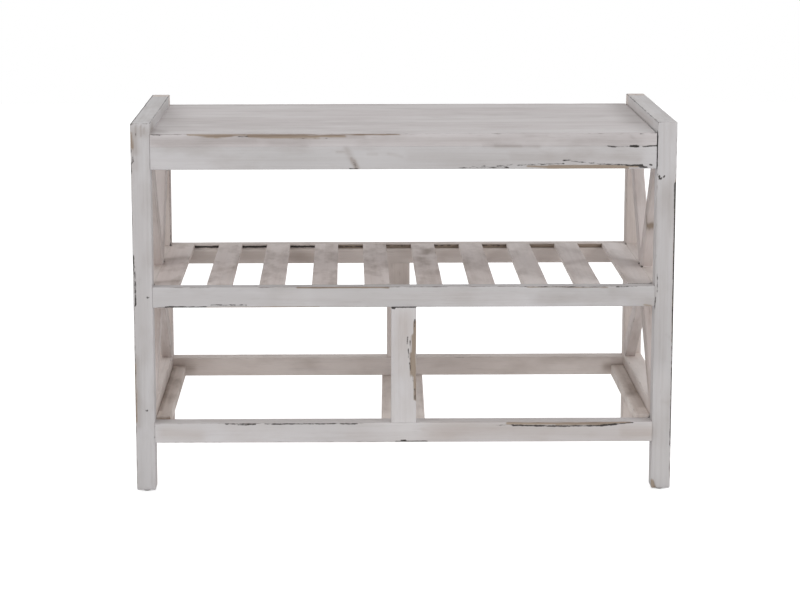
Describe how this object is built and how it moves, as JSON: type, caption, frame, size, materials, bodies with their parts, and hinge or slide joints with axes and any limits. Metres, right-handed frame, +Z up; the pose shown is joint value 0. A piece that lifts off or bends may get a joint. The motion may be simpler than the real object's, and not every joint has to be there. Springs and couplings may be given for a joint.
{
  "type": "shoe storage bench",
  "caption": "Rustic whitewashed wooden shoe bench: a board seat between X-braced side frames, over a slatted shelf and open lower bays with runners.",
  "frame": {"origin": "on the floor, at the middle of the bench's footprint", "axes": "+X along the seat to the right as seen from the front, +Y from front to back, +Z up"},
  "size_m": [0.7, 0.35, 0.4865],
  "materials": {
    "whitewashed_frame": "brushed whitewash over dark stain, worn edges",
    "whitewashed_seat": "brushed whitewash over dark stain, worn edges",
    "whitewashed_slats": "thin whitewash over dark stain",
    "whitewashed_braces": "thin whitewash over dark stain",
    "whitewashed_runners": "thin whitewash over dark stain",
    "beech_dowel": "plain",
    "zinc_screw": "zinc plated",
    "dark_glide": "matt"
  },
  "bodies": {
    "root": {"leg_front_left": "whitewashed_frame", "leg_front_right": "whitewashed_frame", "leg_rear_left": "whitewashed_frame", "leg_rear_right": "whitewashed_frame", "top_side_rail_left": "whitewashed_frame", "mid_side_rail_left": "whitewashed_frame", "low_side_rail_left": "whitewashed_frame", "top_side_rail_right": "whitewashed_frame", "mid_side_rail_right": "whitewashed_frame", "low_side_rail_right": "whitewashed_frame", "apron_front": "whitewashed_frame", "apron_rear": "whitewashed_frame", "shelf_rail_front": "whitewashed_frame", "shelf_rail_rear": "whitewashed_frame", "low_rail_front": "whitewashed_frame", "low_rail_rear": "whitewashed_frame", "centre_post_front": "whitewashed_frame", "centre_post_rear": "whitewashed_frame", "seat_board": "whitewashed_seat", "shelf_slat_01": "whitewashed_slats", "shelf_slat_02": "whitewashed_slats", "shelf_slat_03": "whitewashed_slats", "shelf_slat_04": "whitewashed_slats", "shelf_slat_05": "whitewashed_slats", "shelf_slat_06": "whitewashed_slats", "shelf_slat_07": "whitewashed_slats", "shelf_slat_08": "whitewashed_slats", "shelf_slat_09": "whitewashed_slats", "shelf_slat_10": "whitewashed_slats", "brace_upper_front_left": "whitewashed_braces", "brace_lower_front_left": "whitewashed_braces", "brace_upper_rear_left": "whitewashed_braces", "brace_lower_rear_left": "whitewashed_braces", "brace_upper_front_right": "whitewashed_braces", "brace_lower_front_right": "whitewashed_braces", "brace_upper_rear_right": "whitewashed_braces", "brace_lower_rear_right": "whitewashed_braces", "side_runner_left": "whitewashed_runners", "side_runner_right": "whitewashed_runners", "centre_runner": "whitewashed_runners", "seat_dowel_front_left": "beech_dowel", "seat_dowel_front_right": "beech_dowel", "seat_dowel_rear_left": "beech_dowel", "seat_dowel_rear_right": "beech_dowel", "runner_screw_front_left": "zinc_screw", "runner_screw_rear_left": "zinc_screw", "runner_screw_front_right": "zinc_screw", "runner_screw_rear_right": "zinc_screw", "centre_screw_left": "zinc_screw", "centre_screw_right": "zinc_screw", "glide_front_left": "dark_glide", "glide_front_right": "dark_glide", "glide_rear_left": "dark_glide", "glide_rear_right": "dark_glide"}
  },
  "joints": []
}
